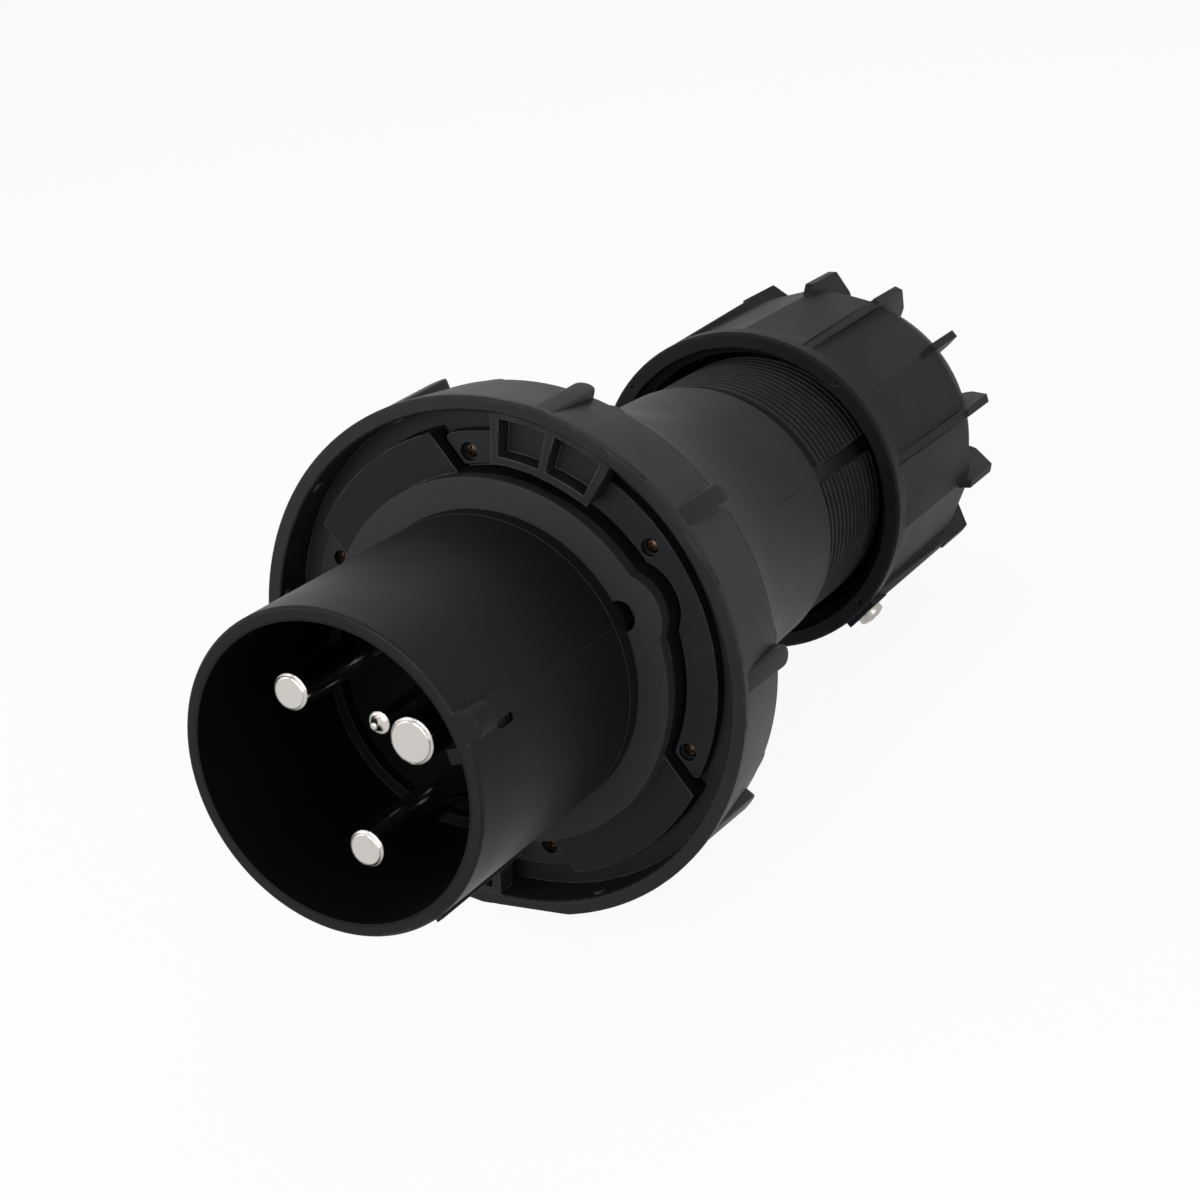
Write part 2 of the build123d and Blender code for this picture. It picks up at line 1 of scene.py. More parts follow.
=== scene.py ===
"""Looks of an industrial plug: black moulded shells, bright pins, a locking ring and a gland nut.

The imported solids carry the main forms. This script gives every piece the finish of the real
one. It slims the barrel, tapers the locking ring's skirt, lets the nut's ridges grow from its
flange and rounds the pins' tips. It adds the ring's grip ribs, the gland thread's turns and the
mould lines, and puts recessed heads on the screws.

Lengths and stations along the plug are in millimetres, and directions round it are in degrees
from +X towards +Z, except where a docstring says metres.
"""

import logging
import math
from collections.abc import Callable
from dataclasses import dataclass
from enum import Enum

import bmesh
import bpy
from mathutils import Matrix, Vector

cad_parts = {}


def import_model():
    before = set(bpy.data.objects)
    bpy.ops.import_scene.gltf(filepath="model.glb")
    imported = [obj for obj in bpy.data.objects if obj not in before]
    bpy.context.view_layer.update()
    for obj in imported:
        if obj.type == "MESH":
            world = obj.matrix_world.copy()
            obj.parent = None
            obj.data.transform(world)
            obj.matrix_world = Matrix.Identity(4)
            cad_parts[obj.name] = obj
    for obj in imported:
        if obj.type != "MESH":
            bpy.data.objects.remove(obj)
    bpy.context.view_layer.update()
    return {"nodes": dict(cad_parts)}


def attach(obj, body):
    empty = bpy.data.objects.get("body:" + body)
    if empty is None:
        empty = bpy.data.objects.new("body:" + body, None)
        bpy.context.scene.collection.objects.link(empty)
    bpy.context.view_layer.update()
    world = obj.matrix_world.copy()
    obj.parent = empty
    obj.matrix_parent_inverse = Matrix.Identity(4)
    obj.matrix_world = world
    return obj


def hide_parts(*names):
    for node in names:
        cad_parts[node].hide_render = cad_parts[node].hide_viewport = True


LOG = logging.getLogger("plug")
MM = 0.001
# Edges that turn by more than this stay sharp under smooth shading.
SHARP_ANGLE = math.radians(32)


# Small helpers

def linear(hex_code: str) -> tuple[float, float, float, float]:
    """Turn an sRGB hex colour into the linear values that the shaders take.

    Args:
        hex_code: Colour such as "#1c1d1f".

    Returns:
        Linear red, green, blue and an alpha of one.
    """
    values = []
    for start in (1, 3, 5):
        level = int(hex_code[start:start + 2], 16) / 255
        values.append(level / 12.92 if level <= 0.04045 else ((level + 0.055) / 1.055) ** 2.4)
    return values[0], values[1], values[2], 1.0


def add_node(tree: bpy.types.NodeTree, kind: str, inputs: dict | None = None,
             **settings: object) -> bpy.types.Node:
    """Add one node to a tree, with its settings, values and links.

    Args:
        tree: Shader or geometry tree.
        kind: The node's type name.
        inputs: Input name or number, and the value it takes or the output that feeds it.
        **settings: The node's own properties.

    Returns:
        The new node.
    """
    node = tree.nodes.new(kind)
    for name, value in settings.items():
        setattr(node, name, value)
    for key, value in (inputs or {}).items():
        if isinstance(value, bpy.types.NodeSocket):
            tree.links.new(value, node.inputs[key])
        else:
            node.inputs[key].default_value = value
    return node


def polar(radius: float, degrees: float, station: float) -> Vector:
    """Give the point at a radius and direction round the plug, in metres."""
    turn = math.radians(degrees)
    return Vector((radius * math.cos(turn), station, radius * math.sin(turn))) * MM


def finished_object(name: str, mesh: bpy.types.Mesh) -> bpy.types.Object:
    """Put a mesh that holds its own place into the scene.

    Args:
        name: The piece's name.
        mesh: Mesh in metres, placed in the plug's frame.

    Returns:
        The object, at the origin.
    """
    piece = bpy.data.objects.new(name, mesh)
    bpy.context.scene.collection.objects.link(piece)
    return piece


def mesh_of(form: bmesh.types.BMesh, name: str) -> bpy.types.Mesh:
    """Turn an edited form into a mesh and let the form go.

    Args:
        form: The form, which can't be used afterwards.
        name: The mesh's name.

    Returns:
        The new mesh.
    """
    mesh = bpy.data.meshes.new(name)
    form.to_mesh(mesh)
    form.free()
    return mesh


def shade(mesh: bpy.types.Mesh) -> None:
    """Shade a mesh smooth, and leave its real edges sharp.

    Args:
        mesh: The mesh, whose custom normals stay where it has them.
    """
    mesh.shade_smooth()
    mesh.set_sharp_from_angle(angle=SHARP_ANGLE)


def empty_tree(owner: bpy.types.Material | bpy.types.World) -> bpy.types.NodeTree:
    """Give a material or a world its own shader tree, with nothing in it.

    Args:
        owner: The new material or world.

    Returns:
        Its empty tree.
    """
    owner.use_nodes = True
    owner.node_tree.nodes.clear()
    return owner.node_tree


def shown_ray(tree: bpy.types.NodeTree) -> bpy.types.NodeSocket:
    """Tell the rays that show the background from those that light the plug.

    Args:
        tree: The tree of the floor's material or of the world.

    Returns:
        The output that is one for camera, glossy and transmission rays.
    """
    ray = add_node(tree, "ShaderNodeLightPath").outputs
    mirrored = add_node(tree, "ShaderNodeMath", {0: ray["Is Glossy Ray"],
                                                 1: ray["Is Transmission Ray"]},
                        operation="MAXIMUM")
    return add_node(tree, "ShaderNodeMath", {0: ray["Is Camera Ray"], 1: mirrored.outputs[0]},
                    operation="MAXIMUM").outputs[0]


# Finishes

# Width of the faint patches of tone and gloss that moulding leaves, and of the patches of wear
# and painted highlight along the edges.
PATCH_MM = 24
WEAR_AND_HIGHLIGHT_MM = 5
# Painted shade for the shroud's bore, where little light comes: its nylon is painted near black
# there.
BORE_PAINTED_SHADE = "#060708"


class Surface(Enum):
    """How a surface was made, which decides its fine relief."""

    SPARK_ERODED = "moulded against a spark-eroded tool"
    TURNED = "turned on a lathe"
    PLATED = "formed and plated"


@dataclass(frozen=True)
class Finish:
    """One finish of the plug.

    Attributes:
        name: The real material and how it was made.
        colour: sRGB hex colour of the clean surface.
        second: sRGB hex colour that it drifts towards in faint patches.
        roughness: Mean roughness.
        roughness_drift: How far the roughness wanders in patches.
        surface: How the surface was made.
        grain_mm: Size of its fine relief.
        depth_mm: Height of its fine relief.
        metallic: One for a metal.
        specular: Specular level of a plastic or rubber.
        edge_mm: Radius of the softened edges.
        edge_wear_and_highlight: sRGB hex colour of the pale edges, which is partly rubbed wear
            and
        partly painted highlight, or empty where the edges stay plain.
        painted_shade_bore_mm: Radius round the plug's axis within which the surface takes painted
        shade and is darker, or zero.
    """

    name: str
    colour: str
    second: str
    roughness: float
    roughness_drift: float
    surface: Surface
    grain_mm: float
    depth_mm: float
    metallic: float = 0.0
    specular: float = 0.5
    edge_mm: float = 0.35
    edge_wear_and_highlight: str = ""
    painted_shade_bore_mm: float = 0.0

    def build(self) -> bpy.types.Material:
        """Make the material.

        Returns:
            The node material, which reads object coordinates only.
        """
        material = bpy.data.materials.new(self.name)
        tree = empty_tree(material)
        place = add_node(tree, "ShaderNodeTexCoord").outputs["Object"]
        patches = add_node(tree, "ShaderNodeTexNoise",
                           {"Vector": place, "Scale": 1 / (PATCH_MM * MM), "Detail": 3.0})
        tone = add_node(tree, "ShaderNodeMix", {0: patches.outputs["Fac"], 6: linear(self.colour),
                                                7: linear(self.second)}, data_type="RGBA")
        # Nearly all of the noise lies between 0.3 and 0.7.
        gloss = add_node(tree, "ShaderNodeMapRange", {
            "Value": patches.outputs["Fac"], "From Min": 0.3, "From Max": 0.7,
            "To Min": self.roughness - self.roughness_drift,
            "To Max": self.roughness + self.roughness_drift})
        relief = self.relief(tree, place)
        soft = add_node(tree, "ShaderNodeBevel", {"Radius": self.edge_mm * MM}, samples=6)
        bump = add_node(tree, "ShaderNodeBump", {
            "Height": relief, "Strength": 1.0, "Distance": self.depth_mm * MM,
            "Normal": soft.outputs["Normal"]})
        colour = tone.outputs[2]
        # Pale edges, partly rubbed wear and partly painted highlight.
        if self.edge_wear_and_highlight:
            colour = self.wear_and_highlight_edges(tree, place, soft.outputs["Normal"], colour)
        # Painted shade: the bore's nylon is painted near black.
        if self.painted_shade_bore_mm:
            colour = self.bore(tree, place, colour)
        shader = add_node(tree, "ShaderNodeBsdfPrincipled", {
            "Base Color": colour, "Roughness": gloss.outputs["Result"],
            "Normal": bump.outputs["Normal"]})
        shader.inputs["Metallic"].default_value = self.metallic
        shader.inputs["Specular IOR Level"].default_value = self.specular
        add_node(tree, "ShaderNodeOutputMaterial", {"Surface": shader.outputs["BSDF"]})
        return material

    def bore(self, tree: bpy.types.NodeTree, place: bpy.types.NodeSocket,
             colour: bpy.types.NodeSocket) -> bpy.types.NodeSocket:
        """Paint shade on what lies inside the bore, where little light comes.

        Args:
            tree: The material's tree.
            place: Object coordinates.
            colour: Colour outside the bore.

        Returns:
            The output that holds the colour with the painted shade in its bore.
        """
        flat = add_node(tree, "ShaderNodeVectorMath", {0: place, 1: (1.0, 0.0, 1.0)},
                        operation="MULTIPLY")
        radius = add_node(tree, "ShaderNodeVectorMath", {0: flat.outputs[0]}, operation="LENGTH")
        inside = add_node(tree, "ShaderNodeMath", {0: radius.outputs["Value"],
                                                   1: self.painted_shade_bore_mm * MM}, operation="LESS_THAN")
        dark = add_node(tree, "ShaderNodeMix", {0: inside.outputs[0], 6: colour,
                                                7: linear(BORE_PAINTED_SHADE)}, data_type="RGBA")
        return dark.outputs[2]

    def wear_and_highlight_edges(self, tree: bpy.types.NodeTree, place: bpy.types.NodeSocket,
               soft: bpy.types.NodeSocket, colour: bpy.types.NodeSocket) -> bpy.types.NodeSocket:
        """Pale the edges with wear from hands and gloves and with painted highlight.

        Args:
            tree: The material's tree.
            place: Object coordinates.
            soft: Normal of the softened surface.
            colour: Colour away from the edges.

        Returns:
            The output that holds the colour with its pale edges.
        """
        # The softened normal leaves the true one only beside an edge. The range is the cosine of
        # the angle between them, where the rubbing starts and where it is full.
        flat = add_node(tree, "ShaderNodeNewGeometry").outputs["Normal"]
        match = add_node(tree, "ShaderNodeVectorMath", {0: soft, 1: flat},
                         operation="DOT_PRODUCT")
        edge = add_node(tree, "ShaderNodeMapRange", {
            "Value": match.outputs["Value"], "From Min": 0.985, "From Max": 0.88,
            "To Min": 0.0, "To Max": 1.0})
        # The least rubbed stretch of an edge keeps a quarter of its wear and painted highlight.
        wear_and_highlight_patches = add_node(tree, "ShaderNodeTexNoise",
                        {"Vector": place, "Scale": 1 / (WEAR_AND_HIGHLIGHT_MM * MM), "Detail": 4.0})
        share = add_node(tree, "ShaderNodeMapRange", {
            "Value": wear_and_highlight_patches.outputs["Fac"], "From Min": 0.4, "From Max": 0.65,
            "To Min": 0.25, "To Max": 1.0})
        amount = add_node(tree, "ShaderNodeMath", {0: edge.outputs["Result"],
                                                   1: share.outputs["Result"]},
                          operation="MULTIPLY")
        pale = add_node(tree, "ShaderNodeMix", {0: amount.outputs[0], 6: colour,
                                                7: linear(self.edge_wear_and_highlight)}, data_type="RGBA")
        return pale.outputs[2]

    def relief(self, tree: bpy.types.NodeTree,
               place: bpy.types.NodeSocket) -> bpy.types.NodeSocket:
        """Give the height of the fine relief.

        Args:
            tree: The material's tree.
            place: Object coordinates.

        Returns:
            The output that holds the height, from 0 to 1.
        """
        if self.surface is Surface.TURNED:
            # Stretched across the plug, the noise draws the rings that a lathe leaves.
            rings = add_node(tree, "ShaderNodeMapping",
                             {"Vector": place, "Scale": (0.02, 1.0, 0.02)})
            return add_node(tree, "ShaderNodeTexNoise", {
                "Vector": rings.outputs["Vector"], "Scale": 1 / (self.grain_mm * MM),
                "Detail": 2.0}).outputs["Fac"]
        detail = 4.0 if self.surface is Surface.SPARK_ERODED else 1.0
        return add_node(tree, "ShaderNodeTexNoise", {
            "Vector": place, "Scale": 1 / (self.grain_mm * MM), "Detail": detail,
            "Roughness": 0.6}).outputs["Fac"]


# The pale edge colours below are partly rubbed wear and partly painted highlight.
# Glass-filled nylon, injection moulded: near black and satin, with a soft wide highlight. The
# grain of the tool is about 0.1 mm and is drawn 0.5 mm wide, because it wouldn't show otherwise.
SHELL_NYLON = Finish("moulded_nylon_satin", "#191b1c", "#202223", 0.5, 0.05,
                     Surface.SPARK_ERODED, 0.5, 0.02, specular=0.1, edge_wear_and_highlight="#4b4d4f")
# The front shell's nylon with painted shade: darker all over and near black in its bore. Its pale
# edges are partly rubbed wear and partly painted highlight.
SHROUD_NYLON = Finish("moulded_nylon_shroud", "#0e0f10", "#131416", 0.45, 0.05,
                      Surface.SPARK_ERODED, 0.5, 0.02, specular=0.12, edge_wear_and_highlight="#5a5c5f",
                      painted_shade_bore_mm=33.1)
# The fine lines that the tool's joints leave, a shade paler than the shroud.
LINE_NYLON = Finish("moulded_nylon_line", "#232527", "#26282a", 0.5, 0.04,
                    Surface.SPARK_ERODED, 0.5, 0.01, specular=0.12)
# The same nylon out of a finer tool: the ring, which hands polish, is a little glossier.
RING_NYLON = Finish("moulded_nylon_fine", "#181a1c", "#1f2123", 0.46, 0.05,
                    Surface.SPARK_ERODED, 0.4, 0.015, specular=0.12, edge_wear_and_highlight="#55585a")
# The nut's nylon: the ring's, painted darker as shade, and a little duller.
NUT_NYLON = Finish("moulded_nylon_dark", "#121415", "#191b1c", 0.5, 0.05,
                   Surface.SPARK_ERODED, 0.4, 0.015, specular=0.08, edge_wear_and_highlight="#474a4c")
# Nylon deep in the shroud: matte, and painted near black as the shade of the recess, so the pins
# stand out against it.
CARRIER_NYLON = Finish("moulded_nylon_matte", "#050606", "#080909", 0.65, 0.05,
                       Surface.SPARK_ERODED, 0.5, 0.02, specular=0.04)
# Chloroprene gasket, cut from a calendered sheet: matte and a shade paler than the shells.
GASKET_RUBBER = Finish("calendered_rubber_sheet", "#1d1f20", "#242627", 0.65, 0.05,
                       Surface.SPARK_ERODED, 0.7, 0.03, specular=0.2)
# Moulded rubber of the inner seals: black and soft, and never on show.
SEAL_RUBBER = Finish("moulded_rubber", "#0f0f10", "#141415", 0.55, 0.05,
                     Surface.SPARK_ERODED, 0.6, 0.02, specular=0.3)
# Brass, turned and nickel plated: bright and warm white, with faint rings from the lathe.
PIN_NICKEL = Finish("turned_brass_nickel_plated", "#d0cdc8", "#c5c1bb", 0.14, 0.03,
                    Surface.TURNED, 0.5, 0.003, metallic=1.0, edge_mm=0.7)
# Brass screws, cold headed: yellow metal painted dark brown as the shade of their recesses.
SCREW_BRASS = Finish("headed_brass", "#4a3a2f", "#1c1611", 0.36, 0.08,
                     Surface.PLATED, 0.4, 0.01, metallic=1.0, edge_mm=0.1)
# Steel screws, headed and zinc plated: a cool bright grey.
SCREW_STEEL = Finish("headed_steel_zinc_plated", "#b9b6b0", "#98948d", 0.28, 0.05,
                     Surface.PLATED, 0.4, 0.008, metallic=1.0, edge_mm=0.1)
# Nylon of the inner sleeve and washer, never on show: plain dark grey.
SLEEVE_NYLON = Finish("moulded_nylon_grey", "#2f3033", "#37383b", 0.5, 0.04,
                      Surface.SPARK_ERODED, 0.5, 0.02, specular=0.4)


class Wardrobe:
    """Builds each finish once and lays it on pieces."""

    def __init__(self) -> None:
        """Start with no materials."""
        self.made: dict[str, bpy.types.Material] = {}

    def material(self, finish: Finish) -> bpy.types.Material:
        """Give the finish's material, made on first use.

        Args:
            finish: The finish.

        Returns:
            The one material of that finish.
        """
        if finish.name not in self.made:
            self.made[finish.name] = finish.build()
        return self.made[finish.name]

    def dress(self, piece: bpy.types.Object, finish: Finish) -> None:
        """Lay one finish on every material slot of a piece.

        Args:
            piece: CAD node or new piece.
            finish: The finish it gets.
        """
        material = self.material(finish)
        if not piece.material_slots:
            piece.data.materials.append(material)
        for holder in piece.material_slots:
            holder.material = material


# Geometry Nodes

class Pattern:
    """A Geometry Nodes tree with named inputs, run once and kept as a plain mesh."""

    KINDS = {float: "NodeSocketFloat", int: "NodeSocketInt",
             bpy.types.Object: "NodeSocketObject", type(None): "NodeSocketGeometry"}

    def __init__(self, name: str) -> None:
        """Start an empty tree.

        Args:
            name: The tree's name.
        """
        self.tree = bpy.data.node_groups.new(name, "GeometryNodeTree")
        self.values: dict[str, object] = {}
        self.entry = self.tree.nodes.new("NodeGroupInput")

    def size(self, name: str, value: object) -> bpy.types.NodeSocket:
        """Add a named input, of the kind that its value is.

        Args:
            name: The input's name.
            value: What the input is set to, or None where the modifier's own mesh feeds it.

        Returns:
            The output of the entry node that carries it.
        """
        self.tree.interface.new_socket(name, in_out="INPUT", socket_type=self.KINDS[type(value)])
        if value is not None:
            self.values[name] = value
        return self.entry.outputs[name]

    def run(self, name: str, result: bpy.types.NodeSocket, material: bpy.types.Material,
            base: bpy.types.Mesh | None = None) -> bpy.types.Object:
        """Close the tree, evaluate it and keep the mesh.

        Args:
            name: The piece's name.
            result: The geometry to realize.
            material: The piece's material.
            base: Mesh that the tree's Geometry input receives, if it has one.

        Returns:
            The finished piece, with no modifier left.
        """
        self.tree.interface.new_socket("Geometry", in_out="OUTPUT",
                                       socket_type="NodeSocketGeometry")
        real = add_node(self.tree, "GeometryNodeRealizeInstances", {"Geometry": result})
        coated = add_node(self.tree, "GeometryNodeSetMaterial",
                          {"Geometry": real.outputs[0], "Material": material})
        add_node(self.tree, "NodeGroupOutput", {"Geometry": coated.outputs[0]})
        holder = finished_object(name + "_maker", base or bpy.data.meshes.new(name + "_maker"))
        modifier = holder.modifiers.new("pattern", "NODES")
        modifier.node_group = self.tree
        for item in self.tree.interface.items_tree:
            if item.in_out == "INPUT" and item.name in self.values:
                modifier[item.identifier] = self.values[item.name]
        graph = bpy.context.evaluated_depsgraph_get()
        mesh = bpy.data.meshes.new_from_object(holder.evaluated_get(graph))
        mesh.name = name
        shade(mesh)
        bpy.data.objects.remove(holder)
        return finished_object(name, mesh)


# The plug's sub-assemblies

@dataclass
class MouldLines:
    """The fine raised lines that the tool's joints leave on the shroud and the barrel.

    Attributes:
        height: How far they stand proud.
        width: Their width.
        shroud: Radius of the shroud.
        circle: Station of the line round the shroud.
        along: The lines along the plug: the surface's radius at the front and back end, the
            direction, and the stations of the two ends.
        sunk_circle: How deep the foot of the line round the shroud lies in the wall.
        sunk_along: How deep the foot of the lines along the plug lies in the wall.
        steps: Straight steps of the line round the shroud.
    """

    height: float = 0.08
    width: float = 0.3
    shroud: float = 35.5
    circle: float = 60.5
    along: tuple[tuple[float, float, float, float, float], ...] = (
        (35.5, 35.5, 27.0, 14.0, 60.5), (36.9, 36.2, 28.7, 140.0, 158.0))
    sunk_circle: float = 0.2
    sunk_along: float = 0.3
    steps: int = 180

    def build(self, wardrobe: Wardrobe) -> bpy.types.Object:
        """Lay all the lines as one piece.

        Args:
            wardrobe: Source of the finish.

        Returns:
            The lines, in their places.
        """
        form = bmesh.new()
        low, high = self.shroud - self.sunk_circle, self.shroud + self.height
        half = self.width / 2
        corners = [form.verts.new((r * MM, y * MM, 0.0)) for r, y in (
            (low, self.circle - half), (high, self.circle - half / 2),
            (high, self.circle + half / 2), (low, self.circle + half))]
        edges = [form.edges.new((corners[i], corners[(i + 1) % 4])) for i in range(4)]
        bmesh.ops.spin(form, geom=corners + edges, cent=(0, 0, 0), axis=(0, 1, 0),
                       angle=math.tau, steps=self.steps)
        for front_radius, back_radius, direction, front, back in self.along:
            turn = math.radians(direction)
            across = Vector((-math.sin(turn), 0.0, math.cos(turn))) * half * MM
            ends = []
            for radius, station in ((front_radius, front), (back_radius, back)):
                inner = polar(radius - self.sunk_along, direction, station)
                outer = polar(radius + self.height, direction, station)
                ends.append([form.verts.new(p) for p in (
                    inner - across, outer - across / 2, outer + across / 2, inner + across)])
            form.faces.new(ends[0])
            form.faces.new(ends[1])
            for index in range(4):
                after = (index + 1) % 4
                form.faces.new((ends[0][index], ends[0][after], ends[1][after], ends[1][index]))
        bmesh.ops.remove_doubles(form, verts=form.verts[:], dist=1e-7)
        bmesh.ops.recalc_face_normals(form, faces=form.faces[:])
        piece = finished_object("mould_lines", mesh_of(form, "mould_lines"))
        wardrobe.dress(piece, LINE_NYLON)
        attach(piece, "plug_body")
        return piece


@dataclass
class GripRibs:
    """The locking ring's ribs, which start flush at its rim and stand proud at its back.

    Attributes:
        count: Ribs round the ring.
        first: Direction of one of them, in degrees.
        width: Width of a rib.
        front: Station where a rib starts.
        back: Station of its rounded end.
        root: Radius inside the skirt's wall that a rib starts from.
        front_radius: Radius of a rib's top at the rim.
        back_radius: Radius of its top at the end.
        edge: Radius of its softened edges.
        end_steps: Straight steps of the rounded end.
        edge_steps: Straight steps across a softened edge.
    """

    count: int = 10
    first: float = 42.6
    width: float = 5.0
    front: float = 65.0
    back: float = 85.4
    root: float = 58.2
    front_radius: float = 60.85
    back_radius: float = 61.45
    edge: float = 0.5
    end_steps: int = 8
    edge_steps: int = 4

    def blank(self) -> bpy.types.Mesh:
        """Make one rib that points along +X.

        Returns:
            A closed mesh in metres, with a rounded end at the back.
        """
        half = self.width / 2
        outline = [(self.front, -half), (self.front, half)]
        for step in range(self.end_steps + 1):
            turn = math.radians(90 - 180 * step / self.end_steps)
            outline.append((self.back - half + half * math.cos(turn), half * math.sin(turn)))
        slope = (self.back_radius - self.front_radius) / (self.back - self.front)
        form = bmesh.new()
        low = [form.verts.new((self.root * MM, y * MM, z * MM)) for y, z in outline]
        high = [form.verts.new(((self.front_radius + slope * (y - self.front)) * MM, y * MM,
                                z * MM)) for y, z in outline]
        form.faces.new(low)
        top = form.faces.new(high)
        for index in range(len(outline)):
            after = (index + 1) % len(outline)
            form.faces.new((low[index], low[after], high[after], high[index]))
        bmesh.ops.recalc_face_normals(form, faces=form.faces[:])
        bmesh.ops.bevel(form, geom=list(top.edges), offset=self.edge * MM,
                        segments=self.edge_steps, affect="EDGES", profile=0.5)
        return mesh_of(form, "grip_rib_blank")

    def build(self, wardrobe: Wardrobe) -> bpy.types.Object:
        """Set the ribs round the ring.

        Args:
            wardrobe: Source of the finish.

        Returns:
            All the ribs as one piece.
        """
        pattern = Pattern("grip_ribs")
        shape = finished_object("grip_rib_shape", self.blank())
        blank = pattern.size("Blank", shape)
        count = pattern.size("Count", self.count)
        first = pattern.size("First Direction", math.radians(-self.first))
        tree = pattern.tree
        source = add_node(tree, "GeometryNodeObjectInfo", {"Object": blank})
        points = add_node(tree, "GeometryNodePoints", {"Count": count, "Radius": MM})
        index = add_node(tree, "GeometryNodeInputIndex")
        step = add_node(tree, "ShaderNodeMath", {0: math.tau, 1: count}, operation="DIVIDE")
        turn = add_node(tree, "ShaderNodeMath", {0: index.outputs[0], 1: step.outputs[0],
                                                 2: first}, operation="MULTIPLY_ADD")
        about = add_node(tree, "ShaderNodeCombineXYZ", {"Y": turn.outputs[0]})
        copies = add_node(tree, "GeometryNodeInstanceOnPoints", {
            "Points": points.outputs[0], "Instance": source.outputs["Geometry"],
            "Rotation": about.outputs[0]})
        piece = pattern.run("grip_ribs", copies.outputs[0], wardrobe.material(RING_NYLON))
        bpy.data.objects.remove(shape)
        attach(piece, "ring_body")
        return piece


@dataclass
class BarrelThread:
    """The gland thread's turns, which stand on the barrel's core and stop at its key groove.

    Attributes:
        core_radius: Radius of the core between the turns.
        crest_radius: Radius of the turns' crests.
        pitch: Distance from one turn to the next.
        first_station: Station of the first turn.
        turns: How many turns there are.
        root_width: Width of a turn at its foot.
        crest_width: Width of its crest.
        sunk: How deep its foot lies in the core.
        groove_direction: Direction of the key groove's middle, in degrees.
        groove_width: Width of the key groove.
        steps_per_turn: Straight steps in one turn.
    """

    core_radius: float = 33.6
    crest_radius: float = 34.8
    pitch: float = 2.5
    first_station: float = 171.2
    turns: int = 13
    root_width: float = 1.9
    crest_width: float = 0.8
    sunk: float = 0.2
    groove_direction: float = 28.7
    groove_width: float = 4.2
    steps_per_turn: int = 144

    def build(self, wardrobe: Wardrobe) -> bpy.types.Object:
        """Make all the turns as one piece.

        Args:
            wardrobe: Source of the finish.

        Returns:
            The thread, in its place on the barrel.
        """
        pattern = Pattern("barrel_thread")
        turns = pattern.size("Turns", self.turns)
        pitch = pattern.size("Pitch", self.pitch * MM)
        start = pattern.size("First Station", self.first_station * MM)
        middle = pattern.size("Middle Radius",
                              (self.core_radius - self.sunk + self.crest_radius) / 2 * MM)
        height = pattern.size("Height", (self.crest_radius - self.core_radius + self.sunk) * MM)
        gap = math.degrees(self.groove_width / self.core_radius)
        share = pattern.size("Share Of Turn", 1 - gap / 360)
        root = pattern.size("Root Width", self.root_width * MM)
        crest = pattern.size("Crest Width", self.crest_width * MM)
        tree = pattern.tree
        rise = add_node(tree, "ShaderNodeMath", {0: pitch, 1: share}, operation="MULTIPLY")
        helix = add_node(tree, "GeometryNodeCurveSpiral", {
            "Resolution": self.steps_per_turn, "Rotations": share, "Start Radius": middle,
            "End Radius": middle, "Height": rise.outputs[0], "Reverse": True})
        upright = add_node(tree, "GeometryNodeSetCurveNormal", {"Curve": helix.outputs[0]},
                           mode="Z_UP")
        profile = add_node(tree, "GeometryNodeCurvePrimitiveQuadrilateral", {
            "Height": height, "Bottom Width": root, "Top Width": crest, "Offset": 0.0},
            mode="TRAPEZOID")
        outward = add_node(tree, "GeometryNodeTransform", {
            "Geometry": profile.outputs[0], "Rotation": (0.0, 0.0, math.radians(-90))})
        ridge = add_node(tree, "GeometryNodeCurveToMesh", {
            "Curve": upright.outputs[0], "Profile Curve": outward.outputs[0],
            "Fill Caps": True})
        at_groove = add_node(tree, "GeometryNodeTransform", {
            "Geometry": ridge.outputs[0],
            "Rotation": (0.0, 0.0, math.radians(gap / 2 - self.groove_direction))})
        laid = add_node(tree, "GeometryNodeTransform", {
            "Geometry": at_groove.outputs[0], "Rotation": (math.radians(-90), 0.0, 0.0)})
        step = add_node(tree, "ShaderNodeCombineXYZ", {"Y": pitch})
        first = add_node(tree, "ShaderNodeCombineXYZ", {"Y": start})
        line = add_node(tree, "GeometryNodeMeshLine", {
            "Count": turns, "Start Location": first.outputs[0], "Offset": step.outputs[0]})
        copies = add_node(tree, "GeometryNodeInstanceOnPoints",
                          {"Points": line.outputs[0], "Instance": laid.outputs[0]})
        piece = pattern.run("barrel_thread", copies.outputs[0], wardrobe.material(SHELL_NYLON))
        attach(piece, "plug_body")
        return piece


# Takes a point's radius and station and gives its new ones.
Rule = Callable[[float, float], tuple[float, float]]
# How far two lengths of the solids may differ and still be the same.
CLOSE = 0.05
# How far the real barrel lies inside the solid's: station and depth.
BARREL_DRAW = ((92.0, 0.0), (105.0, 0.8), (120.0, 1.7), (136.0, 2.3), (160.0, 2.7), (167.0, 3.1),
               (169.0, 2.8))


def between(station: float, table: tuple[tuple[float, float], ...]) -> float:
    """Read a table of stations and values, with straight lines between its rows.

    Args:
        station: Where the value is wanted, in millimetres.
        table: Rows of station and value, in rising order.

    Returns:
        The value there, which stays at the end rows' values outside the table.
    """
    before = table[0]
    for after in table:
        if station < after[0]:
            share = (station - before[0]) / max(after[0] - before[0], 1e-9)
            return before[1] + max(share, 0.0) * (after[1] - before[1])
        before = after
    return before[1]


def barrel_rule(radius: float, station: float) -> tuple[float, float]:
    """Draw the barrel's outside in to the real waist, and leave its bores.

    Args:
        radius: The point's distance from the plug's axis.
        station: Where the point is along the plug.

    Returns:
        Its new radius and station.
    """
    bore = 33.2
    if radius <= bore:
        return radius, station
    return max(radius - between(station, BARREL_DRAW), bore), station


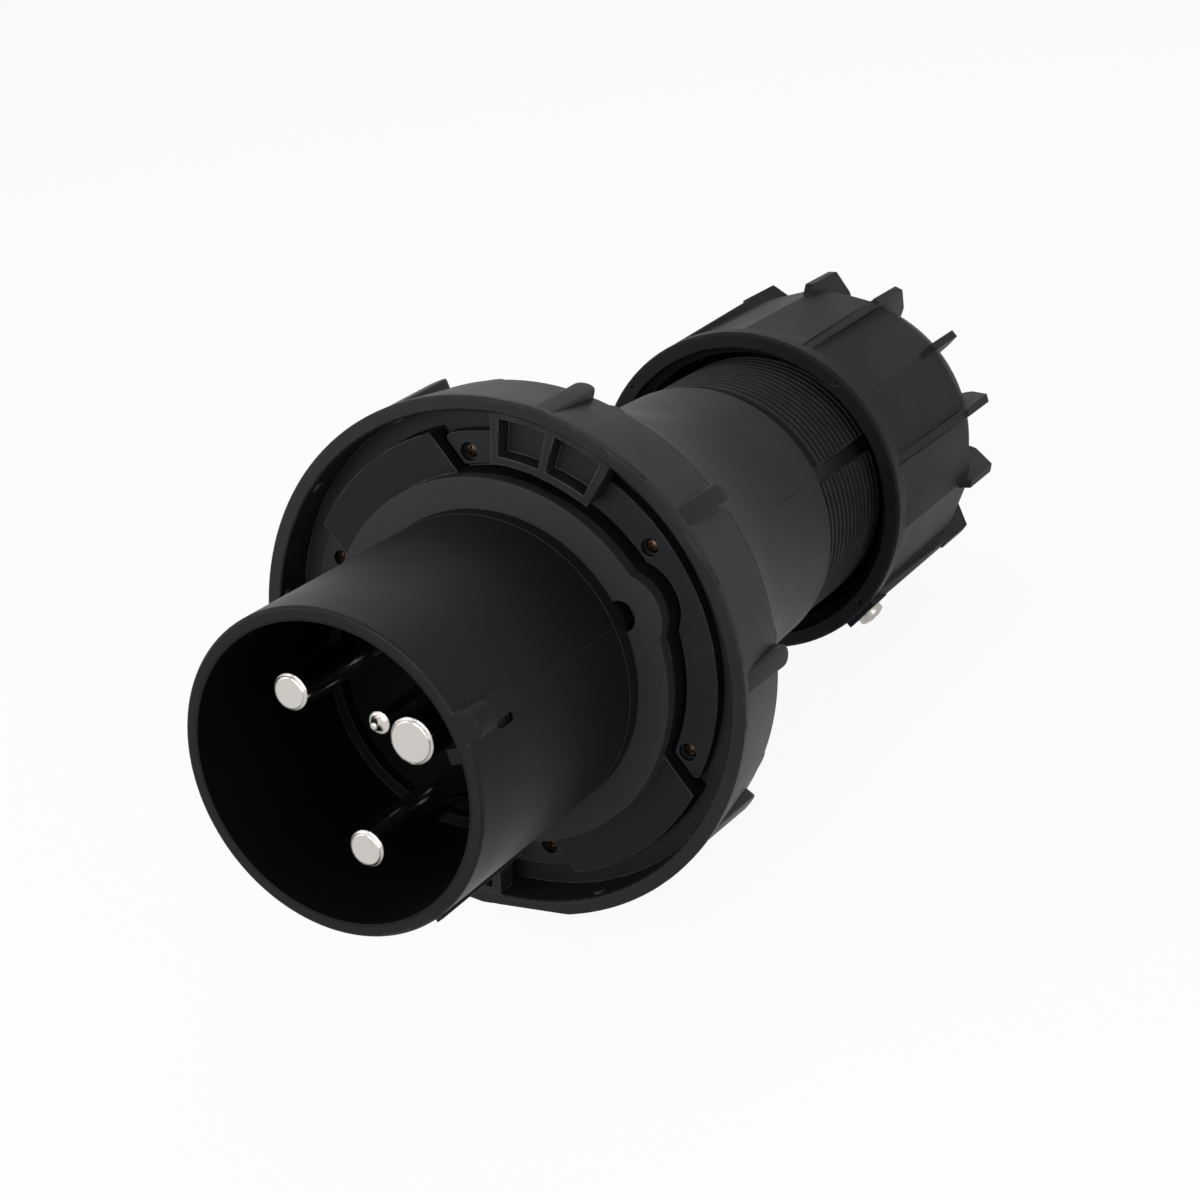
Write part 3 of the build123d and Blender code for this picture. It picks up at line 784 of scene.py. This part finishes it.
def ring_rule(radius: float, station: float) -> tuple[float, float]:
    """Taper the skirt towards the back, sharpen its front edge and level the solid's ribs.

    Args:
        radius: The point's distance from the plug's axis.
        station: Where the point is along the plug.

    Returns:
        Its new radius and station.
    """
    bore, outside, front, back = 57.6, 61.0, 63.8, 86.0
    gain, fall, solid_round, real_round = 0.1, 2.2, 1.5, 0.45
    if radius <= bore:
        return radius, station
    taper = gain - fall * (station - front) / (back - front)
    if radius > outside + CLOSE:
        return outside + taper, station
    if radius > outside - solid_round and station < front + solid_round - CLOSE / 5:
        share = (radius - outside + solid_round) / solid_round
        return (outside - real_round * (1 - share) + taper,
                front + real_round * (station - front) / solid_round)
    return radius + taper, station


def nut_rule(radius: float, station: float) -> tuple[float, float]:
    """Let the ridges grow from nothing at the nut's flange, where they all start.

    Args:
        radius: The point's distance from the plug's axis.
        station: Where the point is along the plug.

    Returns:
        Its new radius and station.
    """
    ridge_start, flange, lowest_ridge, sunk, moved = 197.0, 43.7, 0.3, 0.4, 1.2
    if abs(station - ridge_start) < 2 * CLOSE and radius > flange + lowest_ridge:
        return flange - sunk, ridge_start + moved
    return radius, station


@dataclass
class Reshaped:
    """A piece that takes a solid's form and moves its surface by a small rule.

    Attributes:
        node: The solid that it stands for.
        body: The body that it rides on.
        slot: The record's material slot; not used.
        finish: Its finish.
        rule: Gives the new radius and station of a point, in millimetres.
        axis: Radius and direction of the line that the rule's radius is measured from.
    """

    node: str
    body: str
    slot: str
    finish: Finish
    rule: Rule
    axis: tuple[float, float] = (0.0, 0.0)

    def build(self, solid: bpy.types.Object, wardrobe: Wardrobe) -> bpy.types.Object:
        """Copy the solid's surface, apply the rule and let the piece stand for the solid.

        Args:
            solid: The CAD node.
            wardrobe: Source of the finish.

        Returns:
            The reshaped piece.
        """
        mesh = solid.data.copy()
        mesh.name = self.node + "_surface"
        mesh.transform(solid.matrix_world)
        centre = polar(self.axis[0], self.axis[1], 0.0)
        for corner in mesh.vertices:
            offset = corner.co - centre
            radius = math.hypot(offset.x, offset.z) / MM
            if radius < 1e-6:
                continue
            moved, station = self.rule(radius, offset.y / MM)
            corner.co = centre + Vector((offset.x * moved / radius, station * MM,
                                         offset.z * moved / radius))
        shade(mesh)
        piece = finished_object(mesh.name, mesh)
        wardrobe.dress(piece, self.finish)
        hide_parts(self.node)
        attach(piece, self.body)
        return piece


class Drive(Enum):
    """The driver that a screw takes, by the number of bars in its recess."""

    SLOT = 1
    CROSS = 2


@dataclass(frozen=True)
class Seat:
    """Where a screw stands: the middle of its head's underside, and the way its head faces."""

    radius: float
    direction: float
    station: float
    facing: tuple[float, float] = (0.0, -1.0)

    def place(self) -> Vector:
        """Give the seat's point, in metres."""
        return polar(self.radius, self.direction, self.station)

    def gaze(self) -> Vector:
        """Give the way the head faces, from its outward and axial parts."""
        outward, along = self.facing
        return (polar(outward, self.direction, along) / MM).normalized()


@dataclass
class ScrewSet:
    """Screws of one size, with domed heads and a recess for the driver.

    Attributes:
        name: The new piece's name.
        node: The CAD node that it stands for.
        seats: Where the screws stand.
        head_radius: Radius of the head.
        head_height: Height of the head, dome and all.
        crown: Height of the dome.
        shank_radius: Radius of the shank.
        shank_length: Length under the head.
        drive_span: Length of a bar of the recess.
        drive_width: Width of a bar of the recess.
        drive_depth: Depth of the recess.
        drive: The driver it takes.
        body: The body that it rides on.
        slot: The record's material slot; not used.
        finish: Its finish.
        segments: Straight steps round the screw.
        dome_steps: Straight steps from the head's rim to its middle.
    """

    name: str
    node: str
    seats: list[Seat]
    head_radius: float
    head_height: float
    crown: float
    shank_radius: float
    shank_length: float
    drive_span: float
    drive_width: float
    drive_depth: float
    drive: Drive = Drive.CROSS
    body: str = "plug_body"
    slot: str = "steel_screws"
    finish: Finish = SCREW_STEEL
    segments: int = 40
    dome_steps: int = 5

    def blank(self) -> bpy.types.Mesh:
        """Turn the screw before its recess is cut: the head looks along +Z from the seat.

        Returns:
            A closed mesh in metres.
        """
        chamfer = 0.25 * self.shank_radius
        shoulder = self.head_height - self.crown
        outline = [(0.0, -self.shank_length), (self.shank_radius - chamfer, -self.shank_length),
                   (self.shank_radius, chamfer - self.shank_length), (self.shank_radius, 0.0)]
        if self.head_radius > self.shank_radius:
            outline.append((self.head_radius, 0.0))
        for step in range(self.dome_steps + 1):
            turn = math.radians(90 * step / self.dome_steps)
            outline.append((self.head_radius * math.cos(turn),
                            shoulder + self.crown * math.sin(turn)))
        form = bmesh.new()
        corners = [form.verts.new((r * MM, 0.0, z * MM)) for r, z in outline]
        for first, second in zip(corners, corners[1:]):
            form.edges.new((first, second))
        bmesh.ops.spin(form, geom=form.verts[:] + form.edges[:], cent=(0, 0, 0), axis=(0, 0, 1),
                       angle=math.tau, steps=self.segments)
        bmesh.ops.remove_doubles(form, verts=form.verts[:], dist=1e-6)
        bmesh.ops.recalc_face_normals(form, faces=form.faces[:])
        return mesh_of(form, self.name + "_blank")

    def build(self, wardrobe: Wardrobe) -> bpy.types.Object:
        """Cut the recess, set a copy at each seat and dress the set.

        Args:
            wardrobe: Source of the finish.

        Returns:
            All the screws of the set as one piece.
        """
        pattern = Pattern(self.name)
        seats = pattern.size("Seats", None)
        shape = finished_object(self.name + "_shape", self.blank())
        blank = pattern.size("Blank", shape)
        span = pattern.size("Recess Span", self.drive_span * MM)
        width = pattern.size("Recess Width", self.drive_width * MM)
        depth = pattern.size("Recess Depth", self.drive_depth * MM)
        top = pattern.size("Head Height", self.head_height * MM)
        tree = pattern.tree
        source = add_node(tree, "GeometryNodeObjectInfo", {"Object": blank})
        # The bars are centred on the head's top, so they are twice as tall as they cut deep.
        tall = add_node(tree, "ShaderNodeMath", {0: depth, 1: 2.0}, operation="MULTIPLY")
        size = add_node(tree, "ShaderNodeCombineXYZ",
                        {"X": span, "Y": width, "Z": tall.outputs[0]})
        rise = add_node(tree, "ShaderNodeCombineXYZ", {"Z": top})
        bar = add_node(tree, "GeometryNodeMeshCube", {"Size": size.outputs[0]})
        cut = add_node(tree, "GeometryNodeMeshBoolean", {0: source.outputs["Geometry"]},
                       operation="DIFFERENCE", solver="EXACT")
        for index in range(self.drive.value):
            lifted = add_node(tree, "GeometryNodeTransform", {
                "Geometry": bar.outputs[0], "Translation": rise.outputs[0],
                "Rotation": (0.0, 0.0, math.radians(90 * index))})
            tree.links.new(lifted.outputs[0], cut.inputs[1])
        facing = add_node(tree, "GeometryNodeInputNamedAttribute", {"Name": "facing"},
                          data_type="FLOAT_VECTOR")
        turn = add_node(tree, "FunctionNodeAlignRotationToVector",
                        {"Vector": facing.outputs["Attribute"]}, axis="Z")
        copies = add_node(tree, "GeometryNodeInstanceOnPoints", {
            "Points": seats, "Instance": cut.outputs["Mesh"], "Rotation": turn.outputs[0]})
        points = bpy.data.meshes.new(self.name + "_seats")
        points.from_pydata([seat.place() for seat in self.seats], [], [])
        gaze = points.attributes.new("facing", "FLOAT_VECTOR", "POINT")
        for index, seat in enumerate(self.seats):
            gaze.data[index].vector = seat.gaze()
        piece = pattern.run(self.name, copies.outputs[0], wardrobe.material(self.finish), points)
        bpy.data.objects.remove(shape)
        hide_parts(self.node)
        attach(piece, self.body)
        return piece


@dataclass(frozen=True)
class Contact:
    """One contact pin, with the sizes that its tip and its terminal's screws follow.

    Attributes:
        name: What its terminal screws are called after.
        node: The pin's CAD node.
        radius: The pin's radius.
        axis: Radius and direction of the pin's own axis.
        tip: Station of the solid's tip.
        flat: Radius of the tip's flat.
        lead: Length of the tip's rounded edge.
    """

    name: str
    node: str
    radius: float
    axis: tuple[float, float]
    tip: float
    flat: float
    lead: float

    def terminal_seats(self) -> list[Seat]:
        """Place its two terminal screws on the terminal's outward side.

        Returns:
            The screws' seats, front one first.
        """
        wall, stations = 2.0, (89.6, 98.4)
        circle, direction = self.axis
        return [Seat(circle + self.radius + wall, direction, station, OUTWARD)
                for station in stations]


# The ways that a screw's head faces, from its outward and axial parts.
OUTWARD, BACKWARD = (1.0, 0.0), (0.0, 1.0)
CONTACTS = (
    Contact("earth", "earth_pin", 5.0, (18.3, 28.7), 5.0, 4.4, 0.6),
    Contact("left", "phase_pin_left", 4.0, (18.3, 133.7), 5.0, 3.4, 0.6),
    Contact("right", "phase_pin_right", 4.0, (18.3, -76.3), 5.0, 3.4, 0.6),
    Contact("pilot", "pilot_pin", 2.5, (4.8, 81.7), 14.8, 0.7, 2.2))


def screw_sets() -> list[ScrewSet]:
    """List the plug's screws, each set with the sizes of the real ones.

    Returns:
        The sets, in the order in which they are built.
    """
    sets = [
        ScrewSet("segment_screw_set", "segment_screws",
                 [Seat(46.6, 42.0 + 60.0 * index, 72.4) for index in range(6)],
                 head_radius=1.6, head_height=1.0, crown=0.5, shank_radius=1.2, shank_length=21.0,
                 drive_span=2.1, drive_width=0.5, drive_depth=0.7,
                 slot="brass_screws", finish=SCREW_BRASS),
        ScrewSet("carrier_screw_set", "carrier_screws",
                 [Seat(25.5, direction, 75.0, BACKWARD) for direction in (208.7, 81.2)],
                 head_radius=2.8, head_height=1.8, crown=0.7, shank_radius=1.5, shank_length=14.0,
                 drive_span=3.2, drive_width=0.7, drive_depth=1.0),
        ScrewSet("nut_lock_screw", "nut_locking_screw", [Seat(44.978, -40.0, 198.7, OUTWARD)],
                 head_radius=3.6, head_height=2.4, crown=1.1, shank_radius=2.0, shank_length=4.6,
                 drive_span=4.2, drive_width=0.9, drive_depth=1.3, body="nut_body")]
    for contact in CONTACTS:
        radius = contact.radius
        sets.append(ScrewSet(
            f"terminal_screws_{contact.name}", "terminal_screws", contact.terminal_seats(),
            head_radius=radius / 2, head_height=0.2, crown=0.1, shank_radius=radius / 2,
            shank_length=0.6 * radius + 2.0, drive_span=1.2 * radius, drive_width=0.7,
            drive_depth=0.9, drive=Drive.SLOT))
    return sets


def pin_rule(pin: Contact) -> Rule:
    """Make the rule that gives a pin its rounded tip.

    Args:
        pin: The pin.

    Returns:
        A rule that moves the tip's two rings and leaves the rest of the pin.
    """
    chamfer, tip_zone = 1.0, 2.5

    def rule(distance: float, station: float) -> tuple[float, float]:
        """Move one point of the pin.

        Args:
            distance: The point's distance from the pin's axis.
            station: Where the point is along the plug.

        Returns:
            Its new distance and station.
        """
        if station < pin.tip + CLOSE:
            return distance * pin.flat / (pin.radius - chamfer), station
        if station < pin.tip + tip_zone:
            return distance, pin.tip + pin.lead
        return distance, station
    return rule


def reshaped_pieces() -> list[Reshaped]:
    """List the pieces whose surface departs from its solid.

    Returns:
        The pieces, in the order in which they are built.
    """
    return [
        Reshaped("rear_housing", "plug_body", "black_housing", SHELL_NYLON, barrel_rule),
        Reshaped("locking_ring", "ring_body", "black_ring", RING_NYLON, ring_rule),
        Reshaped("gland_nut", "nut_body", "black_nut", NUT_NYLON, nut_rule),
        *(Reshaped(pin.node, "plug_body", "bright_pins", PIN_NICKEL, pin_rule(pin), pin.axis)
          for pin in CONTACTS)]


@dataclass
class Studio:
    """Camera, lamps, floor and background.

    Attributes:
        azimuth: Camera's direction round the plug, in degrees.
        elevation: Camera's height above the plug's axis, in degrees.
        distance: From the camera to the aim point, in millimetres.
        lens: Focal length for a sensor 36 mm wide.
        aim: The point looked past, in millimetres.
        slide: How far the camera stands to the right of and above the aim, in millimetres.
        world_level: Strength of the world's light on the plug, where one is white.
        floor_glow: Share of plain white in the floor as it is seen. The rest takes the shadow.
        floor_reach: From the floor's middle to its sides, in metres.
    """

    azimuth: float = 28.443
    elevation: float = 21.748
    distance: float = 540.0
    lens: float = 70.583
    aim: tuple[float, float, float] = (0.0, 90.0, 0.0)
    slide: tuple[float, float] = (10.755, 5.460)
    world_level: float = 0.22
    floor_glow: float = 0.93
    floor_reach: float = 3.0

    def place_camera(self) -> None:
        """Create the camera at the photograph's viewpoint and make it the scene's own."""
        turn, lift = math.radians(self.azimuth), math.radians(self.elevation)
        back = Vector((math.sin(turn) * math.cos(lift), -math.cos(turn) * math.cos(lift),
                       math.sin(lift)))
        right = Vector((math.cos(turn), math.sin(turn), 0.0))
        up = back.cross(right)
        eye = Vector(self.aim) + back * self.distance + right * self.slide[0] + up * self.slide[1]
        lens = bpy.data.cameras.new("camera")
        lens.sensor_width = 36.0
        lens.lens = self.lens
        lens.clip_start = 0.01
        lens.clip_end = 20.0
        camera = bpy.data.objects.new("camera", lens)
        axes = Matrix((right, up, back)).transposed()
        camera.matrix_world = Matrix.Translation(eye * MM) @ axes.to_4x4()
        bpy.context.scene.collection.objects.link(camera)
        bpy.context.scene.camera = camera

    def softbox(self, name: str, power: float, size: tuple[float, float],
                place: tuple[float, float, float], aim: tuple[float, float, float]) -> None:
        """Hang one soft lamp.

        Args:
            name: The lamp's name.
            power: Its power in watts.
            size: Width and height in metres.
            place: Where it hangs, in metres.
            aim: The point that it faces, in metres.
        """
        lamp = bpy.data.lights.new(name, "AREA")
        lamp.shape = "RECTANGLE"
        lamp.size, lamp.size_y = size
        lamp.energy = power
        holder = bpy.data.objects.new(name, lamp)
        gaze = Vector(aim) - Vector(place)
        holder.matrix_world = (Matrix.Translation(place)
                               @ gaze.to_track_quat("-Z", "Y").to_matrix().to_4x4())
        bpy.context.scene.collection.objects.link(holder)

    def light(self) -> None:
        """Hang the lamps and set the world's even white."""
        self.softbox("overhead", 2.4, (1.0, 0.7), (-0.25, 0.25, 0.8), (0.0, 0.1, 0.0))
        self.softbox("left", 3.0, (0.6, 0.9), (-0.75, -0.6, 0.3), (0.0, 0.06, 0.0))
        self.softbox("right", 5.5, (0.6, 0.9), (0.95, -0.35, 0.15), (0.0, 0.1, 0.0))
        self.softbox("front", 16.0, (0.9, 0.7), (-0.05, -1.4, 0.35), (0.0, 0.1, 0.0))
        world = bpy.data.worlds.new("white_studio")
        bpy.context.scene.world = world
        tree = empty_tree(world)
        level = add_node(tree, "ShaderNodeMapRange", {
            "Value": shown_ray(tree), "To Min": self.world_level, "To Max": 1.0})
        glow = add_node(tree, "ShaderNodeBackground", {
            "Color": (1.0, 1.0, 1.0, 1.0), "Strength": level.outputs["Result"]})
        add_node(tree, "ShaderNodeOutputWorld", {"Surface": glow.outputs[0]})

    def floor_material(self) -> bpy.types.Material:
        """Make the floor's white, which keeps the plug's shadow.

        Returns:
            White paint that shows mostly as its own colour to the camera.
        """
        material = bpy.data.materials.new("white_paper_sweep")
        tree = empty_tree(material)
        share = add_node(tree, "ShaderNodeMath", {0: shown_ray(tree), 1: self.floor_glow},
                         operation="MULTIPLY")
        paper = add_node(tree, "ShaderNodeBsdfDiffuse", {"Color": (0.9, 0.9, 0.9, 1.0)})
        white = add_node(tree, "ShaderNodeEmission", {"Color": (1.0, 1.0, 1.0, 1.0),
                                                      "Strength": 1.0})
        both = add_node(tree, "ShaderNodeMixShader", {0: share.outputs[0], 1: paper.outputs[0],
                                                      2: white.outputs[0]})
        add_node(tree, "ShaderNodeOutputMaterial", {"Surface": both.outputs[0]})
        return material

    def lay_floor(self, touch: list[Vector]) -> None:
        """Lay the floor through the three points that the plug rests on.

        Args:
            touch: Three resting points, in metres.
        """
        normal = (touch[1] - touch[0]).cross(touch[2] - touch[0]).normalized()
        if normal.z < 0:
            normal = -normal
        across = Vector((1.0, 0.0, 0.0))
        across = (across - normal * across.dot(normal)).normalized()
        along = normal.cross(across)
        mesh = bpy.data.meshes.new("floor")
        corners = [touch[0] + (across * i + along * j) * self.floor_reach
                   for i, j in ((-1, -1), (1, -1), (1, 1), (-1, 1))]
        mesh.from_pydata(corners, [], [(0, 1, 2, 3)])
        floor = finished_object("floor", mesh)
        floor.data.materials.append(self.floor_material())


# The points that the plug rests on: the tops of two grip ribs and of one of the nut's fins.
RESTS = ((61.4, -65.4, 83.0), (61.4, -101.4, 83.0), (45.48, -83.6, 260.0))
FINISHES: dict[str, Finish] = {
    "front_shell": SHROUD_NYLON,
    "flange_gasket": GASKET_RUBBER,
    "retaining_segment_key_side": SHELL_NYLON,
    "retaining_segment_far_side": SHELL_NYLON,
    "segment_screws": SCREW_BRASS,
    "locking_ring": RING_NYLON,
    "contact_carrier": CARRIER_NYLON,
    "carrier_cover": CARRIER_NYLON,
    "carrier_screws": SCREW_STEEL,
    "terminal_screws": SCREW_STEEL,
    "earth_pin": PIN_NICKEL,
    "phase_pin_left": PIN_NICKEL,
    "phase_pin_right": PIN_NICKEL,
    "pilot_pin": PIN_NICKEL,
    "rear_housing": SHELL_NYLON,
    "housing_seal": SEAL_RUBBER,
    "gland_bush": SEAL_RUBBER,
    "clamp_sleeve": SLEEVE_NYLON,
    "slip_washer": SLEEVE_NYLON,
    "gland_nut": NUT_NYLON,
    "nut_locking_screw": SCREW_STEEL}


def main() -> None:
    """Build the looks from camera to last screw."""
    logging.basicConfig(level=logging.INFO, format="%(name)s: %(message)s")
    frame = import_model()
    bpy.context.scene.view_settings.view_transform = "Standard"
    studio = Studio()
    studio.place_camera()
    studio.light()
    wardrobe = Wardrobe()
    for name, node in frame["nodes"].items():
        wardrobe.dress(node, FINISHES[name])
        LOG.info("dressed %s in %s", name, FINISHES[name].name)
    for surface in reshaped_pieces():
        LOG.info("built %s", surface.build(frame["nodes"][surface.node], wardrobe).name)
    for part in (GripRibs(), MouldLines(), BarrelThread(), *screw_sets()):
        LOG.info("built %s", part.build(wardrobe).name)
    studio.lay_floor([polar(*rest) for rest in RESTS])


if __name__ == "__main__":
    main()
